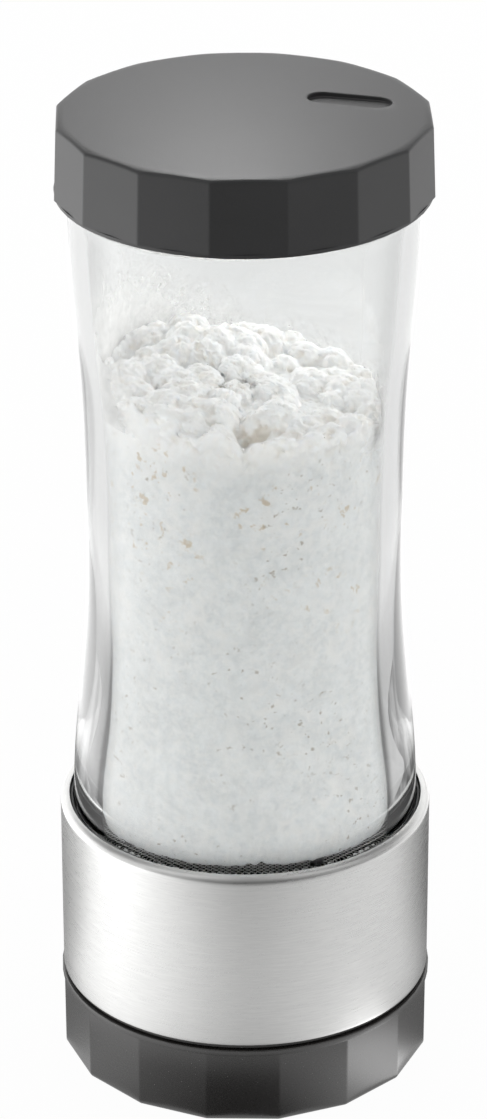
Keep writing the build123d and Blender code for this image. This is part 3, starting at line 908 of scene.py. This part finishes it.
def clods(x, y):
    """Round clods side by side: the highest of balls of scattered sizes, one to each square."""
    places = np.stack([x + clod_shift, y, np.zeros_like(x)], -1) / clod_pitch
    square = np.floor(places)
    best = np.zeros_like(x)
    for step in np.ndindex(3, 3):
        cell = square + np.array([*step, 1]) - 1
        chance = scatter(cell, 5.0)
        off = np.linalg.norm((places - cell - chance)[..., :2], axis=-1)
        size = 0.45 + 0.4 * chance[..., 2]
        best = np.maximum(best, np.sqrt(np.maximum(size**2 - off**2, 0)))
    return best * clod_pitch * clod_flat - clod_middle


def heap_height(x, y):
    """Clods on a slope lower to the right, with a low mound at the back and a hollow in front."""
    mound = np.exp(-((x - mound_x) ** 2 + (y - mound_y) ** 2) / mound_reach**2)
    hollow = np.exp(-((x - hollow_x) ** 2 + (y - hollow_y) ** 2) / hollow_reach**2)
    slope = heap_z - heap_fall_x * x + heap_rise_y * y
    return slope + mound_height * mound - hollow_depth * hollow + clods(x, y)


def outward(grid):
    """Directions square to a grid of points whose columns go once round."""
    along = np.gradient(grid, axis=0)
    around = np.roll(grid, -1, 1) - np.roll(grid, 1, 1)
    square = np.cross(around, along)
    return square / np.maximum(np.linalg.norm(square, axis=-1, keepdims=True), 1e-9)


def crumbled(grid, amount):
    """The grid with crumbs of several sizes: it sinks inwards between round domes."""
    sunk = np.zeros_like(amount)
    for size, tall, seed in crumb_sizes:
        dome = np.sqrt(np.maximum(1 - (clumps(grid, size, seed) / 0.75) ** 2, 0))
        sink = tall * (1 - dome) * amount
        grid = grid - outward(grid) * sink[..., None]
        sunk = sunk + sink
    return grid, sunk


def make_sugar(bore):
    """One closed skin: the swept hollow below, the side along the glass, and the crumbly heap on top."""
    angles = TURN * np.arange(440)[None] / 440

    def wall_radius(height):
        return np.interp(height, bore[:, 1], bore[:, 0]) - sugar_gap

    brim = np.full_like(angles, heap_z)
    for _ in range(4):
        edge = swept(wall_radius(brim), brim, angles)
        brim = heap_height(edge[..., 0], edge[..., 1]) - heap_round

    hem_ring = swept(wall_radius(sugar_z), sugar_z, angles)
    ragged = clumps(hem_ring, 1.6, 8.0)
    beside = np.exp(-(((hem_ring[..., 0] - notch_x) / notch_reach) ** 2))
    notch = np.where(hem_ring[..., 1] < 0, beside * ragged, 0)
    hem = sugar_z - skirt_drop + hem_tooth * ragged + notch_rise * notch

    up = np.concatenate([np.linspace(0, 0.82, 30)[:-1], np.linspace(0.82, 1, 36)])[:, None]
    side_z = hem + (brim - hem) * up
    dent = hem_dent * ease(0.7, 0.0, side_z - hem)
    side = swept(wall_radius(side_z) - dent, side_z, angles)

    inwards = 1 - np.linspace(0, 1, 106)[1:, None] ** 1.15
    top_r = inwards * wall_radius(brim)
    flat = swept(top_r, 0, angles)
    past = np.clip(top_r - (wall_radius(brim) - heap_round), 0, heap_round)
    top_z = heap_height(flat[..., 0], flat[..., 1]) - heap_round + np.sqrt(heap_round**2 - past**2)
    top = swept(top_r, top_z, angles)

    loose = np.vstack([ease(11, 1, brim - side_z), np.ones_like(top_z)])
    heap, sunk = crumbled(np.vstack([side, top]), loose)
    heap[-1] = heap[-1].mean(axis=0)
    off_hollow = np.hypot(heap[..., 0] - hollow_x, heap[..., 1] - hollow_y)
    in_hollow = np.exp(-((off_hollow / hollow_reach) ** 2))
    # Tan in the front hollow is the sugar's own tint; the share that grows with how deep the crumbs sink,
    # there and all over, is painted shade in the creases.
    tan_and_crease_shade = in_hollow * loose * (0.1 + 0.6 * ease(0.35, 0.75, sunk))
    tan_and_crease_shade = np.maximum(tan_and_crease_shade, 0.2 * ease(0.5, 0.9, sunk))

    out = np.concatenate([np.linspace(0, 0.92, 20), np.linspace(0.93, 1, 9)])[:, None]
    under_r = out * (wall_radius(side_z[:1]) - dent[:1])
    roof_r = [0, hub_room, hub_room + 0.6, vane_reach]
    roof = np.interp(under_r, roof_r, [hub_top, hub_top, vane_root_z, sugar_z])
    hang = ease(vane_reach, vane_reach + 1, under_r)
    under = swept(under_r, roof - hang * (sugar_z - side_z[:1]), angles)
    under[0] = under[0].mean(axis=0)

    grid = np.vstack([under[:-1], heap])
    hollow = np.vstack([np.zeros_like(under[:-1, :, 0]), tan_and_crease_shade])
    sugar = skin("sugar_heap", grid, ring=False, marks={"hollow": hollow})
    stands_for(sugar, "sugar_fill", "jar", icing_sugar())


# Dust on the glass, from the front right round the back to the front left
dust_first = np.radians(-50)
dust_last = np.radians(235)
dust_gap = 0.06
dust_thick = 0.05
dust_dip = 6.0  # below the heap's edge
dust_low = 5.0  # over the heap, on the right
dust_rise = 22.0  # and on the left


def make_dust(bore):
    """A thin film on the wall over the heap: two grids a little apart, higher on the left."""
    across = np.linspace(0, 1, 120)[None]
    angles = dust_first + (dust_last - dust_first) * across
    up = np.linspace(0, 1, 40)[:, None]
    leftness = ease(0.45, 0.7, across)
    low = heap_z - dust_dip - heap_fall_x * foot_bore_r * np.cos(angles)
    height = low + up * (dust_dip + dust_low + (dust_rise - dust_low) * leftness)
    radius = np.interp(height, bore[:, 1], bore[:, 0]) - dust_gap
    outer = swept(radius, height, angles)
    inner = swept(radius - dust_thick, height, angles)
    grid = np.concatenate([outer, inner[:, ::-1]], 1)
    edges = (grid + grid[:, ::-1]) / 2
    grid = np.vstack([edges[:1], grid, edges[-1:]])
    rightness = ease(0.3, 0.15, across)
    thick = 0.7 + 0.3 * np.maximum(leftness, rightness)
    cover = (1 - up) * ease(0, 0.12, across) * ease(1, 0.88, across) * thick
    covers = np.concatenate([cover, cover[:, ::-1]], 1)
    covers = np.vstack([covers[:1], covers, covers[-1:]])
    dust = skin("wall_dust", grid, ring=False, marks={"cover": covers})
    dust.data.materials.append(clinging_dust())
    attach(dust, "jar")


def dress_inner_pieces(black):
    """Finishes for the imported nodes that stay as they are: mostly inside, some seen through glass."""
    silicone = moulded("silicone", (0.52, 0.53, 0.53), 0.55, 0.5, 0.01, 0.05)
    acetal = moulded("acetal", (0.030, 0.030, 0.031), 0.38, 0.4, 0.006)
    bright = turned_steel("bright_steel", (0.62, 0.62, 0.61), 0.26)
    coats = (
        (silicone, ("foot_gasket", "base_seal", "top_seal")),
        (black, ("sieve_frame", "sleeve_core", "drive_spider")),
        (acetal, ("agitator", "bearing_bush", "glide_ring")),
        (bright, ("drive_shaft", "shaft_washer", "shaft_screw")),
    )
    for material, nodes in coats:
        for node in nodes:
            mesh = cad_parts[node].data
            mesh.materials.clear()
            mesh.materials.append(material)


# Studio, in metres
floor_reach = 4.0
sky_level = 0.45
# Added for light that reaches what lies behind glass, which the glass partly turns back
inside_level = 1.35
inside_floor = 0.1
# How much darker the glass's lower edges see the floor beside the jar
shade_left = 0.85
shade_right = 0.95
mill_middle = np.array([0, 0, cap_top_z / 2]) * MM


def seen_level(wire):
    """Two shares of a ray: for the camera, mirrors and glass, and for light to what lies behind glass."""
    path = wire.node("LightPath", None, None, "Is Camera Ray")
    scattered = path["Diffuse Depth"]
    seen = path.most(path["Is Glossy Ray"]).most(path["Is Transmission Ray"])
    return seen, path["Is Transmission Ray"] * scattered.maths("MINIMUM", scattered, 1.0)


def make_world():
    """White to the camera, mirrors and glass, and a plain level elsewhere, stronger for the sugar."""
    world = bpy.data.worlds.new("studio")
    world.use_nodes = True
    bpy.context.scene.world = world
    tree = world.node_tree
    seen, behind_glass = seen_level(Wire(tree))
    strength = seen * (1 - sky_level) + behind_glass * inside_level + sky_level
    fill(tree.nodes["Background"], {"Color": rgb(1, 1, 1), "Strength": strength})


def panel(name, grid):
    """A sheet over rows and columns of points in metres, which is part of the studio."""
    rows, columns = grid.shape[:2]
    index = np.arange(rows * columns).reshape(rows, columns)
    corners = [index[:-1, :-1], index[:-1, 1:], index[1:, 1:], index[1:, :-1]]
    sheet = placed(name, mesh_of(name, grid, corners))
    return sheet


def make_floor():
    """A level white floor that keeps a faint shadow."""
    side = np.array([-floor_reach, floor_reach])
    x, y = np.meshgrid(side, side)
    floor = panel("floor", np.stack([x, y, np.zeros_like(x)], -1))
    material, shader, place = finish("floor_white")
    fill(shader, {"Base Color": rgb(0.86, 0.86, 0.86), "Roughness": 0.9, "Specular IOR Level": 0.0})
    seen, behind_glass = seen_level(place)
    across = place.node("SeparateXYZ", None, {0: place})["X"]
    aside = across.maths("ABSOLUTE", across, 0.0)
    streaks = place.noise(55, 2.0).between(0.3, 0.7) * 0.5 + 0.5
    side_shade = across.between(-0.03, 0.03) * (shade_right - shade_left) + shade_left
    reach = place.node("VectorMath", {"operation": "LENGTH"}, {0: place}, "Value")
    shade = side_shade * aside.between(0.03, 0.05) * (1 - reach.between(0.135, 0.15)) * streaks
    through = place.node("LightPath", None, None, "Is Transmission Ray")
    glow = place.node("Emission", None, {"Strength": behind_glass * inside_floor + 1.0 - shade * through})
    lit = Wire(place.tree, shader, shader.outputs[0])
    place.node("MixShader", None, {0: seen * 0.97, 1: lit, 2: glow}).shown()
    floor.data.materials.append(material)


def curved_sheet(radius, first, last, low, high):
    """Part of an upright round wall between two angles, from straight behind, and two heights."""
    angles = np.linspace(first, last, 25)[None]
    height = np.array([low, high])[:, None]
    x, y, z = np.broadcast_arrays(radius * np.sin(angles), radius * np.cos(angles), height)
    return np.stack([x, y, z], -1)


def plain_glow(sheet, mirrored):
    """For a sheet that only mirrors, or only glass, can see: the place on it, whole and taken apart."""
    sheet.visible_camera = False
    sheet.visible_diffuse = False
    sheet.visible_shadow = False
    sheet.visible_glossy = mirrored
    sheet.visible_transmission = not mirrored
    material, shader, place = finish(sheet.name)
    material.node_tree.nodes.remove(shader)
    sheet.data.materials.append(material)
    return place, place.node("SeparateXYZ", None, {0: place})


card_r = 0.13
card_first = np.radians(18)
card_last = np.radians(115)
card_line = np.radians(69)  # where the edge of the bore shows
card_dark = 0.5
card_low = 0.001
card_high = 0.24
edge_cards = (  # side, name, grey, darker at the foot
    (-1, "edge_card_left", 0.34, 0.35),
    (1, "edge_card_right", 0.24, 0.2),
)


def make_cards():
    """Grey cards behind both sides, for the glass's edges: a dark line at the bore, deeper lower down."""
    for side, name, card_grey, foot_dark in edge_cards:
        sheet = curved_sheet(card_r, side * card_first, side * card_last, card_low, card_high)
        place, split = plain_glow(panel(name, sheet), False)
        aside = split.maths("ARCTAN2", split["X"] * float(side), split["Y"])
        off = aside.maths("ABSOLUTE", aside - card_line, 0.0)
        grey = aside.between(card_first, 1.7 * card_first) * card_grey
        line = (1 - off.between(0.03, 0.2)) * card_dark
        lower = 1.0 - split["Z"].between(0.0, 0.15) * 0.45
        foot = 1.0 - split["Z"].between(0.0, 0.03)
        tone = (1.0 - (grey + line) * lower - foot * foot_dark).most(0.05)
        glow = place.node("Emission", None, {"Color": tone, "Strength": 1.0})
        clear = place.node("BsdfTransparent")
        place.node("MixShader", None, {0: seen_level(place)[1], 1: glow, 2: clear}).shown()


heap_light_level = 3.5
heap_light_r = 0.05
heap_light_half = np.radians(105)
heap_light_low = 0.138
heap_light_high = 0.2


def make_heap_light():
    """A band of light round the back that grazes the heap, only for what lies behind glass."""
    sheet = curved_sheet(heap_light_r, -heap_light_half, heap_light_half, heap_light_low, heap_light_high)
    place, split = plain_glow(panel("heap_light", sheet), False)
    depth = (split["Y"] * (1 / heap_light_r)).between(-0.3, 0.8)
    glow = place.node("Emission", None, {"Strength": depth * seen_level(place)[1] * heap_light_level})
    place.node("AddShader", None, {0: glow, 1: place.node("BsdfTransparent")}).shown()


sheen_x = -0.006
sheen_y = 0.13
sheen_low = 0.26
sheen_high = 0.38
sheen_reach = 0.038
sheen_level = 13.5


def make_sheen_card():
    """A small bright card over the back, which the cap's top mirrors, brightest in its middle."""
    across = np.linspace(-1, 1, 9) * sheen_reach + sheen_x
    x, z = np.meshgrid(across, np.linspace(sheen_low, sheen_high, 5))
    card = panel("sheen_card", np.stack([x, np.full_like(x, sheen_y), z], -1))
    place, split = plain_glow(card, True)
    off = split.maths("ABSOLUTE", split["X"] - sheen_x, 0.0)
    tone = 1.0 - off.between(0.0, sheen_reach)
    glow = place.node("Emission", None, {"Color": tone, "Strength": sheen_level})
    place.node("MixShader", None, {0: tone, 1: place.node("BsdfTransparent"), 2: glow}).shown()


# The tent's own sizes are in millimetres
tent_r = 550.0
tent_wall = 350.0
tent_top = 950.0
tent_level = 4.0  # the brightness of a tone of one
behind_tone = 0.35  # added on the wall behind
base_zone = 0.0505  # out to here only the base cap mirrors the floor
sleeve_zone = 0.14  # and out to here mostly the sleeve
base_tones = (
    (-180, 0.2), (-130, 0.25), (-92, 0.45), (-76, 0.6), (-66, 1.0), (-58, 1.0), (-40, 0.65), (-12, 0.02),
    (12, 0.02), (28, 0.9), (40, 1.5), (50, 3.0), (63, 3.2),
    (73, 0.6), (85, 0.35), (120, 0.25), (180, 0.2),
)
sleeve_tones = (
    (-180, 0.1), (-152, 0.12), (-126, 0.35), (-108, 0.6), (-92, 1.4), (-70, 1.65), (-53, 1.4), (-31, 1.1),
    (-8, 0.78), (8, 0.78), (25, 0.86), (60, 0.96), (90, 0.95), (110, 0.5), (135, 0.05), (180, 0.1),
)
cap_tones = (
    (-180, 1.45), (-135, 1.15), (-90, 3.4), (-45, 1.0), (-12, 0.25),
    (12, 0.25), (45, 0.65), (90, 1.25), (135, 1.0), (180, 1.45),
)
roof_tones = (
    (-180, 0.12), (-110, 0.3), (-70, 1.1), (-35, 0.8), (0, 0.22),
    (35, 0.6), (70, 0.9), (110, 0.3), (180, 0.12),
)


def tone_ring(split, tones):
    """A grey that changes with the direction from the front, in degrees, right being positive."""
    turn = split.maths("ARCTAN2", split["X"], split["Y"] * -1.0) * (1 / TURN) + 0.5
    greys = [(angle / 360 + 0.5, rgb(*[tone / tent_level] * 3)) for angle, tone in tones]
    return turn.node("ValToRGB", {"stops": greys}, {0: turn})


def make_tent():
    """A light tent that only mirrors see: floor and wall, darker towards the front and overhead."""
    start_r = base_rim_r + 0.6
    corners = [(start_r, 0.4), (tent_r, 0.4), (tent_r, tent_wall), (0, tent_top)]
    profile = filled(rounded(corners, (40.0, 250.0)), 30.0)
    tent = skin("light_tent", turned(profile, 72), ring=False)
    place, split = plain_glow(tent, True)
    reach = place.node("VectorMath", {"operation": "LENGTH"}, {0: place.stretched(1, 1, 0)}, "Value")
    past_base = reach.between(base_zone * 0.94, base_zone * 1.06)
    past_sleeve = reach.between(sleeve_zone * 0.85, sleeve_zone * 1.15)
    low = past_base * tone_ring(split, sleeve_tones) + (1 - past_base) * tone_ring(split, base_tones)
    near = (1 - reach.between(0.19, 0.25)) * split["Y"].between(0.04, 0.1) * 0.7 + 1.0
    ring = past_sleeve * tone_ring(split, cap_tones) * near + (1 - past_sleeve) * low
    overhead = split["Z"].between(0.22, 0.5)
    level = split["Z"].between(0.12, 0.28) * (1 - split["Z"].between(0.45, 0.62))
    behind = split["Y"].between(0.25, 0.5) * level * (behind_tone / tent_level)
    wall = 1 - split["Z"].between(0.03, 0.12) * (1 - split["Y"].between(0.0, 0.3)) * 0.6
    tone = ring * wall * (1 - overhead) + tone_ring(split, roof_tones) * overhead + behind
    place.node("Emission", None, {"Color": tone, "Strength": tent_level}).shown()


def softbox(name, place, wide, tall, radiance):
    """A rectangular lamp that faces the middle of the object, of a given brightness."""
    lamp = bpy.data.lights.new(name, "AREA")
    lamp.shape = "RECTANGLE"
    lamp.size = wide
    lamp.size_y = tall
    lamp.energy = radiance * np.pi * wide * tall
    box = placed(name, lamp)
    box.location = place
    away = np.array(place) - mill_middle
    tilt = np.arccos(away[2] / np.linalg.norm(away))
    box.rotation_euler = (tilt, 0, np.arctan2(away[1], away[0]) + np.pi / 2)
    box.visible_camera = False
    box.visible_glossy = False


def make_lights():
    """A box on each side and a broader one over the back."""
    softbox("left_box", (-0.75, -0.05, 0.30), 0.5, 0.7, 1.3)
    softbox("right_box", (0.75, 0.15, 0.30), 0.5, 0.7, 1.3)
    softbox("back_box", (0.0, 0.65, 0.55), 0.9, 0.5, 2.0)


def make_camera():
    """The photograph's view: 25 degrees down from the front, on a long lens."""
    lens = bpy.data.cameras.new("camera")
    lens.sensor_width = 36.0
    lens.lens = 146.74
    eye = placed("camera", lens)
    tilt = np.radians(64.56)
    roll = np.radians(-0.107)
    eye.location = (-0.0002, -0.720, 0.4372)
    eye.rotation_euler = (tilt, -roll * np.sin(tilt), roll * np.cos(tilt))
    bpy.context.scene.camera = eye


black_plastic = moulded("black_plastic", (0.014, 0.014, 0.014), 0.42, 0.3, 0.01)
make_glass_jar()
make_cap_liner(black_plastic)
make_top_cap()
make_base_cap()
make_sleeve()
make_collar(black_plastic)
make_end_ring(moulded("band_black", (0.034, 0.033, 0.032), 0.36, 0.3, 0.01))
make_sieve()
make_sugar(bore_profile())
make_dust(bore_profile())
dress_inner_pieces(black_plastic)

make_world()
make_floor()
make_cards()
make_heap_light()
make_sheen_card()
make_tent()
make_lights()
make_camera()
bpy.context.scene.view_settings.view_transform = "Standard"
